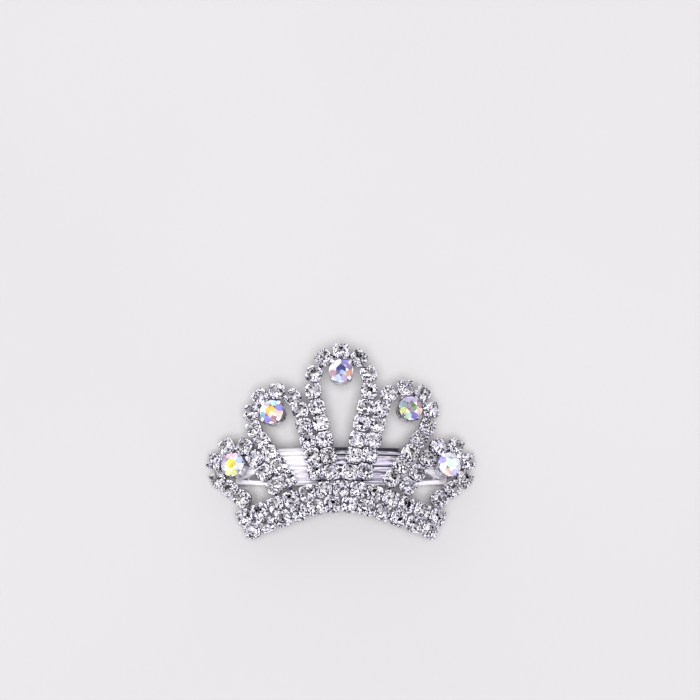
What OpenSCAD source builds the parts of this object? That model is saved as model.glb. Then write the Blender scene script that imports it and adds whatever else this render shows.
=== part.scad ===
// Mini tiara hair clip: five petals and a two-row band of small round stones in cup settings,
// soldered into one openwork crown, bent over a ribbed barrette plate with a plain clasp arm.
// The clip lies on the flat back of its clasp arm, face up, with the petals towards +Y.

/* [Stones] */
// Diameter of a small stone
stone_d = 2.7; // [2.6:0.05:2.75]
// Kite facets round a small stone
stone_facets = 8; // [8:1:10]
// Diameter of the large stone in a petal's head
crystal_d = 4.5; // [4.3:0.05:4.55]
// Kite facets round a large stone
crystal_facets = 16; // [12:2:16]
// Width of a stone's flat table as a share of its diameter
table_ratio = 0.6; // [0.55:0.01:0.62]

/* [Settings] */
// Height of a small cup from its back to its rim
cup_h = 1.6; // [1.55:0.05:1.7]
// Height of a large cup from its back to its rim
crystal_cup_h = 2.15; // [2.15:0.05:2.3]
// Thickness of a small cup's wall
cup_wall = 0.22; // [0.2:0.01:0.24]
// Width of a claw that grips a stone
claw_w = 0.42; // [0.34:0.02:0.5]
// Thickness of a claw
claw_t = 0.2; // [0.16:0.01:0.24]
// Clearance between a stone and its setting
seat_gap = 0.06; // [0.05:0.01:0.08]
// Width of the links that join the cups at the back
link_w = 0.8; // [0.7:0.05:0.9]

/* [Centre petal] */
// Height of the head's middle above the band's lower edge
centre_head_v = 24.55; // [24.4:0.05:24.9]
// Radius of the head, to the stones' middles
centre_head_r = 5.3; // [5.25:0.05:5.4]
// Taper of each side towards the foot, in degrees
centre_taper = 12.9; // [12.7:0.1:13]
// Length of each straight side
centre_side = 16.05; // [15.9:0.05:16.15]

/* [Inner petals] */
// Distance of the head's middle from the crown's middle
inner_head_u = 12.1; // [12.05:0.05:12.3]
// Height of the head's middle above the band's lower edge
inner_head_v = 18.6; // [18.5:0.05:18.8]
// Radius of the head, to the stones' middles
inner_head_r = 4.7; // [4.65:0.05:4.75]
// Lean of the petal away from the middle, in degrees
inner_lean = 23.7; // [23.5:0.1:24]
// How much higher the hand-set right petal stands
right_rise = 0.7; // [0.5:0.1:0.8]

/* [Outer petals] */
// Distance of the head's middle from the crown's middle
outer_head_u = 20.25; // [20.2:0.05:20.5]
// Height of the head's middle above the band's lower edge
outer_head_v = 9.85; // [9.7:0.05:9.9]
// Radius of the head, to the stones' middles
outer_head_r = 3.95; // [3.9:0.05:4]
// Lean of the petal away from the middle, in degrees
outer_lean = 42.8; // [42.4:0.1:43.2]

/* [Band] */
// Radius of the lower row where the band arches over its middle
arch_r = 20; // [19:0.5:21]
// Slope of the band's straight flanks, in degrees
flank_slope = 19; // [18.5:0.5:19.5]
// Spacing of the two rows
row_step = 2.95; // [2.9:0.05:3]

/* [Barrette] */
// Bend radius of the crown and of the plate behind it
bend_r = 58; // [54:1:64]
// Length of the plate along its chord
plate_len = 39.6; // [39:0.2:41]
// Width of the plate in the middle
plate_w = 7; // [6.9:0.1:7.2]
// Width of the plate at its tips
plate_tip_w = 1.1; // [1:0.1:1.4]
// Ribs pressed along the plate
rib_count = 8; // [6:1:9]
// Thickness of the plate's sheet
plate_t = 0.6; // [0.5:0.05:0.7]
// Width of the clasp arm
arm_w = 5.2; // [4.8:0.1:5.4]
// Thickness of the clasp arm
arm_t = 0.9; // [0.8:0.05:1]
// Depth from the crown's back to the arm's flat back
clasp_depth = 8.8; // [8.7:0.1:9.2]

/* [Hidden] */

// Petal table: middle across, middle up, radius, oval, lean to the left, taper, stones,
// straight side at the left, straight side at the right
HEAD_U = 0;
HEAD_V = 1;
HEAD_R = 2;
OVAL = 3;
LEAN = 4;
TAPER = 5;
STONES = 6;
LEFT_SIDE = 7;
RIGHT_SIDE = 8;
centre_count = 17;
centre_oval = 1.21;
inner_count = 14;
inner_oval = 1.04;
inner_taper = 9.9;
inner_far_side = 11.4;
inner_near_side = 12.25;
outer_count = 9;
outer_oval = 0.95;
outer_taper = 8.2;
outer_far_side = 5.7;
outer_near_side = 8.25;
centre_row = [
    0, centre_head_v, centre_head_r, centre_oval, 0, centre_taper, centre_count, centre_side, centre_side
];
left_inner_row = [
    -inner_head_u, inner_head_v, inner_head_r, inner_oval, inner_lean, inner_taper, inner_count,
    inner_far_side, inner_near_side
];
right_inner_row = [
    inner_head_u, inner_head_v + right_rise, inner_head_r, inner_oval, -inner_lean,
    inner_taper, inner_count, inner_near_side + right_rise, inner_far_side + right_rise
];
left_outer_row = [
    -outer_head_u, outer_head_v, outer_head_r, outer_oval, outer_lean, outer_taper, outer_count,
    outer_far_side, outer_near_side
];
right_outer_row = [
    outer_head_u, outer_head_v, outer_head_r, outer_oval, -outer_lean,
    outer_taper, outer_count, outer_near_side, outer_far_side
];

// Round the head the chain is pulled a little open
head_stretch = 1.12;
head_steps = 48;
slack = 0.0001;

// Band rows: stones and length of each straight flank
lower_count = 12;
lower_flank = 10.4;
upper_count = 13;
upper_flank = 10.95;
lower_v = 1.6;
arch_steps = 24;

// Large stones: across and up, each a little off the middle of its petal's head
centre_crystal_up = 2.35;
inner_crystal_out = 0.6;
inner_crystal_up = 0.7;
outer_crystal_in = 0.25;
outer_crystal_down = 0.15;
crystal_places = [
    [0, centre_head_v + centre_crystal_up],
    [-inner_head_u - inner_crystal_out, inner_head_v + inner_crystal_up],
    [inner_head_u + inner_crystal_out, inner_head_v + right_rise + inner_crystal_up],
    [-outer_head_u + outer_crystal_in, outer_head_v - outer_crystal_down],
    [outer_head_u - outer_crystal_in, outer_head_v - outer_crystal_down]
];

// Levels in a setting: the cups' backs lie back_depth behind the crown's bend radius
back_depth = 0.3;
floor_top = 0.3;
rim_top = cup_h - back_depth;
crystal_rim_top = crystal_cup_h - back_depth;
crystal_wall = 0.35;
rim_play = 0.03;

// Shares of a stone's diameter
pavilion_ratio = 0.38;
girdle_ratio = 0.03;
crown_ratio = 0.16;

// Radii of the settings
cup_lip = 0.04;
cup_sides = 24;
cup_r = stone_d / 2 + cup_lip;
crystal_cup_r = crystal_d / 2 + cup_lip;
claw_in = stone_d / 2 + seat_gap;
crystal_claw_in = crystal_d / 2 + seat_gap;
setting_reach = claw_in + claw_t;

// Claws
claw_count = 4;
claw_turn = 45;
claw_low = 0.6;
claw_over = 0.28;
claw_root = 0.14;
claw_tip_t = 0.2;
claw_bevel = 0.1;
crystal_claw_count = 4;
crystal_claw_turn = 45;
crystal_claw_w = 0.6;
crystal_claw_t = 0.26;
crystal_claw_over = 0.45;

// Links and solder joints at the back of the cups
link_low = -0.2;
link_high = 0.15;
link_inset = 0.25;

// Widest gap that solder bridges: beside a chain, at a large stone, at the end of a chain
solder_gap = 0.5;
crystal_solder_gap = 0.7;
foot_solder_gap = 1.15;

// The plate lies just behind the links. Its lower edge is nearly straight, and its upper edge
// slants down to the tips, where a three-cornered hole leaves a rim
joint_gap = 0.05;
rib_depth = 0.26;
rib_steps = 6;
plate_top = 12.8;
plate_low = plate_top - plate_w;
plate_tip_low = 6.6;
shoulder_u = 12.9;
ribbed_u = 13.6;
hole_from_u = 14.7;
hole_to_u = 18.8;
hole_low = 6.75;
hole_high = 8.95;
hole_tip_v = 7.2;
plate_front = bend_r - back_depth - joint_gap;
plate_back = plate_front - rib_depth - plate_t;
plate_spare_angle = 1;

// The arm lies behind the plate, and its ends turn down to the plate's tips
arm_low = 8;
arm_half = 18.9;
arm_corner = 2.4;
arm_end_gap = 0.12;
arm_taper_start = 11;
arm_end_low = 6.8;
arm_end_w = 1.5;
bend_sides = 96;
corner_sides = 48;

// Stones of each chain, as [across, up]
function turned(p, a) = [p[0] * cos(a) - p[1] * sin(a), p[0] * sin(a) + p[1] * cos(a)];
function mix(a, b, t) = a + (b - a) * t;
function degrees(u) = u / bend_r * 180 / PI;

// Outline of a petal: left foot, round the head, right foot; the third value is the chain's stretch
function petal_line(row) = let(
    r = row[HEAD_R],
    h = row[TAPER],
    left = row[LEFT_SIDE],
    right = row[RIGHT_SIDE],
    start = [-r * cos(h) + left * sin(h), -r * sin(h) - left * cos(h)],
    finish = [r * cos(h) - right * sin(h), -r * sin(h) - right * cos(h)],
    head = [for (i = [0 : head_steps]) let(
        a = mix(180 + h, -h, i / head_steps),
        above = sin(a) > -slack,
        rise = above ? row[OVAL] : 1
    ) [r * cos(a), r * sin(a) * rise, i > 0 && above ? head_stretch : 1]]
) [
    [start[0], start[1], 1],
    each head,
    [finish[0], finish[1], 1]
];

// Outline of a band row: left flank, arch, right flank
function band_line(r, flank) = let(
    top = lower_v - arch_r,
    s = flank_slope,
    foot = [r * sin(s) + flank * cos(s), top + r * cos(s) - flank * sin(s)]
) [
    [-foot[0], foot[1], 1],
    for (i = [0 : arch_steps])
        let(a = mix(-s, s, i / arch_steps))
            [r * sin(a), top + r * cos(a), 1],
    [foot[0], foot[1], 1]
];

function flat(p) = [p[0], p[1]];
function step_length(line, i) = norm(flat(line[i + 1]) - flat(line[i])) / line[i + 1][2];
function running(line, i = 0, sum = 0) =
    i == len(line) - 1 ? [sum] : concat([sum], running(line, i + 1, sum + step_length(line, i)));
function segment_at(sums, d) = max([for (k = [0 : len(sums) - 2]) if (sums[k] <= d + slack) k]);
function point_at(line, sums, d) = let(
    k = segment_at(sums, d),
    t = (d - sums[k]) / (sums[k + 1] - sums[k])
) mix(flat(line[k]), flat(line[k + 1]), t);
function spaced(line, n) = let(
    sums = running(line),
    last = sums[len(sums) - 1]
) [for (i = [0 : n - 1]) point_at(line, sums, last * i / (n - 1))];

function petal_points(row) = [
    for (p = spaced(petal_line(row), row[STONES])) turned(p, row[LEAN]) + [row[HEAD_U], row[HEAD_V]]
];

// Direction of the chain at each stone, so that the claws stand between neighbours
function heading(points, i) = let(
    a = points[max(i - 1, 0)],
    b = points[min(i + 1, len(points) - 1)]
) atan2(b[1] - a[1], b[0] - a[0]);
function chain(points) = [for (i = [0 : len(points) - 1]) [points[i][0], points[i][1], heading(points, i)]];

centre_chain = chain(petal_points(centre_row));
left_inner_chain = chain(petal_points(left_inner_row));
right_inner_chain = chain(petal_points(right_inner_row));
left_outer_chain = chain(petal_points(left_outer_row));
right_outer_chain = chain(petal_points(right_outer_row));
lower_chain = chain(spaced(band_line(arch_r, lower_flank), lower_count));
upper_chain = chain(spaced(band_line(arch_r + row_step, upper_flank), upper_count));
chains = [
    centre_chain, left_inner_chain, right_inner_chain, left_outer_chain, right_outer_chain,
    lower_chain, upper_chain
];
small_places = [for (c = chains) each c];

// The model stands with the middle of its outline over the origin
top_v = max([for (p = small_places) p[1]]) + cup_r;
low_v = min([for (p = small_places) p[1]]) - setting_reach;
middle_v = (top_v + low_v) / 2;

// Puts a child, drawn on the flat, at its place on the bent crown
module on_crown(p, turn = 0) {
    a = degrees(p[0]);
    translate([bend_r * sin(a), p[1], bend_r * cos(a) - bend_r])
        rotate([0, a, 0])
            rotate([0, 0, turn])
                children();
}

// Lays the clip on the flat back of its clasp arm
module lying() {
    translate([0, -middle_v, clasp_depth])
        children();
}

// One claw: a post beside the stone with a tip bent over its edge
module claw(inner, over, tip, slope, width, thick) {
    outer = inner + thick;
    rotate([90, 0, 0])
        linear_extrude(height = width, center = true)
            polygon([
                [inner - claw_root, claw_low],
                [outer, claw_low],
                [outer, tip + claw_tip_t - claw_bevel],
                [outer - claw_bevel, tip + claw_tip_t],
                [inner - over, tip + claw_tip_t],
                [inner - over, tip],
                [inner, tip - over * slope],
                [inner, rim_top - claw_bevel],
                [inner - claw_root, rim_top - claw_bevel]
            ]);
}

// Cup with a pocket for the lower half of the stone
module cup(r, wall, rim) {
    difference() {
        translate([0, 0, -back_depth])
            cylinder(r = r, h = rim + back_depth, $fn = cup_sides);
        translate([0, 0, floor_top])
            cylinder(r = r - wall, h = rim, $fn = cup_sides);
    }
}

// The stone's girdle stands above the rim where its lower cone rests inside the pocket
function girdle_z(d, r, wall, rim) =
    rim + pavilion_ratio * d * (1 - (r - wall - rim_play) / (d / 2));
function crown_slope() = crown_ratio / ((1 - table_ratio) / 2);
function claw_tip_z(d, girdle, inner, over) =
    girdle + girdle_ratio * d + (d / 2 - inner + over) * crown_slope() + rim_play;

girdle = girdle_z(stone_d, cup_r, cup_wall, rim_top);
crystal_girdle = girdle_z(crystal_d, crystal_cup_r, crystal_wall, crystal_rim_top);
claw_tip = claw_tip_z(stone_d, girdle, claw_in, claw_over);
crystal_claw_tip = claw_tip_z(crystal_d, crystal_girdle, crystal_claw_in, crystal_claw_over);

module small_setting() {
    cup(cup_r, cup_wall, rim_top);
    for (i = [0 : claw_count - 1])
        rotate([0, 0, claw_turn + i * 360 / claw_count])
            claw(claw_in, claw_over, claw_tip, crown_slope(), claw_w, claw_t);
}

module crystal_setting() {
    cup(crystal_cup_r, crystal_wall, crystal_rim_top);
    for (i = [0 : crystal_claw_count - 1])
        rotate([0, 0, crystal_claw_turn + i * 360 / crystal_claw_count])
            claw(crystal_claw_in, crystal_claw_over, crystal_claw_tip, crown_slope(), crystal_claw_w,
                crystal_claw_t);
}

// Link or solder joint between two cups, let into the floor of each
module link(a, b, ra, rb) {
    span = norm(flat(b) - flat(a));
    along = (b - a) / span;
    from = flat(a) + flat(along) * (ra - link_inset);
    to = flat(b) - flat(along) * (rb - link_inset);
    on_crown((from + to) / 2, atan2(along[1], along[0]))
        translate([0, 0, (link_low + link_high) / 2])
            cube([norm(to - from), link_w, link_high - link_low], center = true);
}

// Every cup as across, up, radius, number of its chain, and whether it ends the chain
cups = concat(
    [for (k = [0 : len(chains) - 1], i = [0 : len(chains[k]) - 1]) let(c = chains[k])
        [c[i][0], c[i][1], cup_r, k, i == 0 || i == len(c) - 1]],
    [for (i = [0 : len(crystal_places) - 1]) let(p = crystal_places[i])
        [p[0], p[1], crystal_cup_r, len(chains) + i, false]]
);
function between(a, b) = norm(flat(b) - flat(a)) - a[2] - b[2];
function bridged(a, b) =
    max(a[2], b[2]) > cup_r ? crystal_solder_gap : a[4] || b[4] ? foot_solder_gap : solder_gap;

module chain_links() {
    for (c = chains)
        for (i = [0 : len(c) - 2])
            link(c[i], c[i + 1], cup_r, cup_r);
}

// Solder joins the cups of different chains, and each large cup to its petal
module solder_joints() {
    for (i = [0 : len(cups) - 2])
        for (j = [i + 1 : len(cups) - 1])
            if (cups[i][3] != cups[j][3] && between(cups[i], cups[j]) < bridged(cups[i], cups[j]))
                link(cups[i], cups[j], cups[i][2], cups[j][2]);
}

// Soldered openwork: every cup, claw, link and joint of the crown
module crown_frame() {
    color("silver")
        lying() {
            for (p = small_places)
                on_crown(p, p[2])
                    small_setting();
            for (p = crystal_places)
                on_crown(p)
                    crystal_setting();
            chain_links();
            solder_joints();
        }
}

// Ring of n points, turned by a share of a step
function ring(n, r, z, turn) = [
    for (i = [0 : n - 1]) let(a = (i + turn) * 360 / n) [r * cos(a), r * sin(a), z]
];

// Cut stone: flat table, a ring of crown facets, a girdle and a pointed pavilion
module stone(d, facets, girdle_low) {
    girdle_high = girdle_low + girdle_ratio * d;
    table_z = girdle_high + crown_ratio * d;
    culet_z = girdle_low - pavilion_ratio * d;
    n = facets;
    points = [
        each ring(n, d / 2 * table_ratio, table_z, 0),
        each ring(n, d / 2, girdle_high, 0.5),
        each ring(n, d / 2, girdle_low, 0.5),
        [0, 0, culet_z]
    ];
    faces = [
        [for (i = [n - 1 : -1 : 0]) i],
        for (i = [0 : n - 1]) [i, (i + 1) % n, n + i],
        for (i = [0 : n - 1]) [(i + 1) % n, n + (i + 1) % n, n + i],
        for (i = [0 : n - 1]) [n + i, n + (i + 1) % n, 2 * n + (i + 1) % n, 2 * n + i],
        for (i = [0 : n - 1]) [2 * n + i, 2 * n + (i + 1) % n, 3 * n]
    ];
    polyhedron(points = points, faces = faces);
}

module stone_chain(places) {
    color("white")
        lying()
            for (p = places)
                on_crown(p, p[2])
                    stone(stone_d, stone_facets, girdle);
}

module crystal(place) {
    color("lightcyan")
        lying()
            on_crown(place)
                stone(crystal_d, crystal_facets, crystal_girdle);
}

// Plate outline or arm outline seen from the front: full width in the middle, slanted to the ends
module slanted_outline(half, start, low, width, end_low, end_width) {
    high = low + width;
    end_high = end_low + end_width;
    polygon([
        [-half, end_low], [-start, low], [start, low], [half, end_low],
        [half, end_high], [start, high], [-start, high], [-half, end_high]
    ]);
}

// Ribbed section of the plate, as radius and height
function rib_section() = let(pitch = plate_w / rib_count) [
    for (i = [0 : rib_count - 1], j = [0 : rib_steps - (i < rib_count - 1 ? 1 : 0)]) [
        plate_front - rib_depth * (1 - sin(180 * j / rib_steps)),
        plate_low + (i + j / rib_steps) * pitch
    ],
    [plate_back, plate_top],
    [plate_back, plate_low]
];

// Plain section of the plate's ends
function plain_section() = [
    [plate_front - rib_depth, plate_low],
    [plate_front - rib_depth, plate_top],
    [plate_back, plate_top],
    [plate_back, plate_low]
];

// Sheet bent along the crown from one angle to another
module bent_sheet(from, to, section) {
    translate([0, 0, -bend_r])
        rotate([-90, 0, 0])
            rotate_extrude(start = from - 90, angle = to - from, $fn = bend_sides)
                polygon(section);
}

// Pressed plate with long ribs, arched over the hair, narrow and pierced at its tips
module barrette_plate() {
    end_angle = asin(plate_len / 2 / plate_back) + plate_spare_angle;
    ribbed_angle = asin(ribbed_u / plate_back);
    color("gainsboro")
        lying()
            intersection() {
                union() {
                    bent_sheet(-end_angle, end_angle, plain_section());
                    bent_sheet(-ribbed_angle, ribbed_angle, rib_section());
                }
                translate([0, 0, -clasp_depth])
                    linear_extrude(height = clasp_depth)
                        difference() {
                            slanted_outline(
                                plate_len / 2, shoulder_u, plate_low, plate_w, plate_tip_low, plate_tip_w
                            );
                            for (side = [-1, 1])
                                polygon([
                                    [side * hole_from_u, hole_low],
                                    [side * hole_to_u, hole_tip_v],
                                    [side * hole_from_u, hole_high]
                                ]);
                        }
            }
}

// Side outline of a shallow dish with rounded lower corners
module dish(half, low, corner) {
    translate([corner - half, low])
        square([2 * (half - corner), -low]);
    translate([-half, low + corner])
        square([2 * half, -low - corner]);
    for (side = [-1, 1])
        translate([side * (half - corner), low + corner])
            circle(r = corner, $fn = corner_sides);
}

// Plain strip with upturned ends that closes against the tips of the plate
module clasp_arm() {
    color("silver")
        lying()
            intersection() {
                translate([0, arm_low + arm_w, 0])
                    rotate([90, 0, 0])
                        linear_extrude(height = arm_low + arm_w - arm_end_low)
                            intersection() {
                                difference() {
                                    dish(arm_half, -clasp_depth, arm_corner);
                                    dish(arm_half - arm_t, arm_t - clasp_depth, arm_corner - arm_t);
                                }
                                translate([0, -bend_r])
                                    circle(r = plate_back - arm_end_gap, $fn = bend_sides);
                            }
                translate([0, 0, -clasp_depth])
                    linear_extrude(height = clasp_depth)
                        slanted_outline(arm_half, arm_taper_start, arm_low, arm_w, arm_end_low, arm_end_w);
            }
}

crown_frame();
stone_chain(centre_chain);  // centre_petal_stones
stone_chain(left_inner_chain);  // left_inner_petal_stones
stone_chain(right_inner_chain);  // right_inner_petal_stones
stone_chain(left_outer_chain);  // left_outer_petal_stones
stone_chain(right_outer_chain);  // right_outer_petal_stones
stone_chain(upper_chain);  // upper_band_stones
stone_chain(lower_chain);  // lower_band_stones
crystal(crystal_places[0]);  // centre_crystal
crystal(crystal_places[1]);  // left_inner_crystal
crystal(crystal_places[2]);  // right_inner_crystal
crystal(crystal_places[3]);  // left_outer_crystal
crystal(crystal_places[4]);  // right_outer_crystal
barrette_plate();
clasp_arm();
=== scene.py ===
"""Looks of a small tiara hair clip: cut stones, plated settings, a ribbed plate and a studio floor."""
import logging
import math
import random
from collections.abc import Callable
from dataclasses import dataclass, field
from enum import Enum

import bpy
import numpy as np
from mathutils import Matrix, Vector


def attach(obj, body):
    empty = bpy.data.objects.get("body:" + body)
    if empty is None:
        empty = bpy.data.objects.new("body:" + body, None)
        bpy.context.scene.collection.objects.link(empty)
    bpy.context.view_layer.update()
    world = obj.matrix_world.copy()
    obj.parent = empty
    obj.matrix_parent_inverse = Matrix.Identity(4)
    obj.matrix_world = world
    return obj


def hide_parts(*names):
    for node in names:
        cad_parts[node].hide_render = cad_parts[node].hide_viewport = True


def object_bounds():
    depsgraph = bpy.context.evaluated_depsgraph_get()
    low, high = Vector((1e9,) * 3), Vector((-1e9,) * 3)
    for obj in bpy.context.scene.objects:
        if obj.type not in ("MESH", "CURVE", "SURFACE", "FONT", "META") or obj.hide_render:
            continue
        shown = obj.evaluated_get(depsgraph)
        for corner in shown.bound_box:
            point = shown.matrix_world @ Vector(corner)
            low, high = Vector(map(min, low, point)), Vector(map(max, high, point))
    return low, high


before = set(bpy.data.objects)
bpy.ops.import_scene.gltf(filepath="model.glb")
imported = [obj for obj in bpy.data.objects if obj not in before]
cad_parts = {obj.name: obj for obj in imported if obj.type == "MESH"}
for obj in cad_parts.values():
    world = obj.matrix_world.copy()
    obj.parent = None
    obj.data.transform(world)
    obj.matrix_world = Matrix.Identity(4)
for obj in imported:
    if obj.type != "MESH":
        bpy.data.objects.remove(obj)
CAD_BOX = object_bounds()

LOG = logging.getLogger("tiara")
Colour = tuple[float, float, float]
# One millimetre, in metres
MM = 0.001
# Claws of a cup
CLAWS = 4
# A face is square to an axis where its normal reaches this along it
FLAT = 0.99
# Colour attribute that holds the facets' tints, painted dark and white reflections among them
TINT_LAYER = "facet_tint"


class Slot(Enum):
    """Material slots of the record."""

    PLATING = "bright_plating"
    CLEAR_STONE = "clear_stone"
    IRIDESCENT_STONE = "iridescent_stone"
    PLATE = "plate_sheet"
    ARM = "arm_sheet"


class Tint(Enum):
    """Colours that the rainbow coating shows on a facet."""

    # ICE is white: a painted highlight on the facets that show it
    ICE = (1.0, 1.0, 1.0)
    PEARL = (0.62, 0.65, 0.74)
    CYAN = (0.34, 0.68, 0.86)
    SKY = (0.36, 0.52, 0.90)
    NAVY = (0.0, 0.002, 0.14)
    VIOLET = (0.17, 0.13, 0.68)
    LILAC = (0.50, 0.40, 0.74)
    PLUM = (0.34, 0.22, 0.50)
    MAGENTA = (0.86, 0.46, 0.72)
    ROSE = (0.46, 0.20, 0.28)
    RUST = (0.50, 0.18, 0.10)
    PEACH = (0.80, 0.52, 0.42)
    GOLD = (0.82, 0.44, 0.04)
    YELLOW = (0.95, 0.72, 0.08)
    LIME = (0.68, 0.76, 0.22)
    MINT = (0.48, 0.74, 0.52)
    GREEN = (0.12, 0.34, 0.08)
    SMOKE = (0.27, 0.22, 0.28)
    TEAL = (0.16, 0.28, 0.34)


class Sheen(Enum):
    """Tones of the reflection bands painted on the ribbed plate."""

    BRIGHT = (0.97, 0.97, 0.98)
    PALE = (0.86, 0.85, 0.91)
    LAVENDER = (0.85, 0.81, 0.95)
    DUSK = (0.53, 0.49, 0.64)
    SLATE = (0.30, 0.28, 0.36)
    DARK = (0.11, 0.09, 0.15)
    BLACK = (0.04, 0.04, 0.05)


class Facet(Enum):
    """Kinds of facet of an upright stone, each with the level that its normal's Z lies above."""

    TABLE = FLAT
    STAR = 0.88
    MAIN = 0.79
    RIM = -0.20
    UNDER = -1.10

    @classmethod
    def of(cls, face: bpy.types.MeshPolygon) -> "Facet":
        """Kind of a face of an upright stone."""
        return next(kind for kind in cls if face.normal.z > kind.value)


class Signal:
    """A node socket that takes part in Python expressions."""

    def __init__(self, graph: "Graph", socket: bpy.types.NodeSocket) -> None:
        """Wraps one output socket of a graph."""
        self.graph = graph
        self.socket = socket

    def _math(self, operation: str, first: "Signal | float", second: "Signal | float") -> "Signal":
        """Adds a Math node of two signals or numbers."""
        return self.graph.add("ShaderNodeMath", {"operation": operation}, {0: first, 1: second})

    def __add__(self, other: "Signal | float") -> "Signal":
        """Sum."""
        return self._math("ADD", self, other)

    def __radd__(self, other: float) -> "Signal":
        """Sum with a number on the left."""
        return self._math("ADD", other, self)

    def __sub__(self, other: "Signal | float") -> "Signal":
        """Difference."""
        return self._math("SUBTRACT", self, other)

    def __rsub__(self, other: float) -> "Signal":
        """Difference from a number on the left."""
        return self._math("SUBTRACT", other, self)

    def __mul__(self, other: "Signal | float") -> "Signal":
        """Product."""
        return self._math("MULTIPLY", self, other)

    def __rmul__(self, other: float) -> "Signal":
        """Product with a number on the left."""
        return self._math("MULTIPLY", other, self)

    def __truediv__(self, other: "Signal | float") -> "Signal":
        """Quotient."""
        return self._math("DIVIDE", self, other)

    def larger(self, other: "Signal | float") -> "Signal":
        """The larger of two values."""
        return self._math("MAXIMUM", self, other)

    def step_up(self, low: float, high: float) -> "Signal":
        """Smooth step from 0 to 1.

        Args:
            low: value at which the step starts.
            high: value at which the step is complete.

        Returns:
            The eased value.
        """
        node = self.graph.node("ShaderNodeMapRange", {"interpolation_type": "SMOOTHSTEP"})
        self.graph.feed(node, {"Value": self, "From Min": low, "From Max": high})
        return Signal(self.graph, node.outputs["Result"])


class Graph:
    """Node tree of one material or world."""

    def __init__(self, owner: bpy.types.Material | bpy.types.World) -> None:
        """Clears the owner's tree.

        Args:
            owner: the material or world.
        """
        owner.use_nodes = True
        self.tree = owner.node_tree
        self.tree.nodes.clear()

    def node(self, kind: str, settings: dict | None = None) -> bpy.types.Node:
        """Adds a bare node.

        Args:
            kind: the node's type.
            settings: attributes such as an operation, or a ramp's stops.

        Returns:
            The node, with its settings.
        """
        made = self.tree.nodes.new(kind)
        for name, value in (settings or {}).items():
            if name == "stops":
                self._stops(made, value)
            else:
                setattr(made, name, value)
        return made

    @staticmethod
    def _stops(ramp: bpy.types.Node, stops: list[tuple[float, Colour]]) -> None:
        """Writes the stops of a colour ramp.

        Args:
            ramp: the ramp's node.
            stops: place and colour of each stop, in order.
        """
        elements = ramp.color_ramp.elements
        while len(elements) < len(stops):
            elements.new(1.0)
        for element, (place, colour) in zip(elements, stops):
            element.position = place
            element.color = (*colour, 1.0)

    def feed(self, node: bpy.types.Node, inputs: dict) -> None:
        """Sets or links the input sockets of a node.

        Args:
            node: the node to feed.
            inputs: socket names or numbers with signals, numbers or tuples.
        """
        for name, value in inputs.items():
            socket = node.inputs[name]
            if isinstance(value, Signal):
                self.tree.links.new(value.socket, socket)
            elif isinstance(value, tuple) and socket.type == "RGBA":
                socket.default_value = (*value, 1.0)
            else:
                socket.default_value = value

    def add(
        self, kind: str, settings: dict | None = None, inputs: dict | None = None, output: int | str = 0
    ) -> Signal:
        """Adds any node.

        Args:
            kind: the node's type.
            settings: attributes such as an operation, or a ramp's stops, which are set first.
            inputs: values or signals of its sockets.
            output: name or number of the socket to hand back.

        Returns:
            The chosen output as a signal.
        """
        made = self.node(kind, settings)
        self.feed(made, inputs or {})
        return Signal(self, made.outputs[output])

    def place(self) -> Signal:
        """Object coordinates, in metres."""
        return self.add("ShaderNodeTexCoord", output="Object")

    def noise(self, scale: float, detail: float = 2.0, stretch: tuple[float, ...] | None = None) -> Signal:
        """Noise on Object coordinates.

        Args:
            scale: noise scale, per metre.
            detail: octaves.
            stretch: scale of the coordinates along X, Y and Z.

        Returns:
            The noise factor.
        """
        where = self.place()
        if stretch:
            where = self.add("ShaderNodeMapping", {}, {"Vector": where, "Scale": stretch})
        inputs = {"Vector": where, "Scale": scale, "Detail": detail}
        return self.add("ShaderNodeTexNoise", {}, inputs, "Fac")

    def blend(self, factor: Signal, low: Signal | Colour, high: Signal | Colour) -> Signal:
        """Mixes two colours by a factor.

        Args:
            factor: signal from 0 to 1.
            low: colour at 0.
            high: colour at 1.

        Returns:
            The mixed colour.
        """
        inputs = {0: factor, 6: low, 7: high}
        return self.add("ShaderNodeMix", {"data_type": "RGBA"}, inputs, 2)

    def bump(self, height: Signal, strength: float, distance: float) -> Signal:
        """Bump from a height.

        Args:
            height: signal of the relief.
            strength: share of the relief that shows.
            distance: depth of the relief, in metres.

        Returns:
            The bent normal.
        """
        inputs = {"Height": height, "Strength": strength, "Distance": distance}
        return self.add("ShaderNodeBump", {}, inputs, "Normal")

    def surface(self, inputs: dict) -> None:
        """Ends a material in one Principled shader."""
        self.end("ShaderNodeOutputMaterial", self.add("ShaderNodeBsdfPrincipled", {}, inputs))

    def end(self, kind: str, shader: Signal) -> None:
        """Links a shader to the tree's output."""
        self.feed(self.node(kind), {"Surface": shader})


@dataclass(frozen=True)
class Finish:
    """A named finish, which makes one material."""

    name: str

    def build(self) -> bpy.types.Material:
        """Makes the material.

        Returns:
            The material.
        """
        material = bpy.data.materials.new(self.name)
        self.shade(Graph(material))
        return material

    def shade(self, graph: Graph) -> None:
        """Fills the material's node tree. Each kind of finish has its own way."""
        raise NotImplementedError


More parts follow.
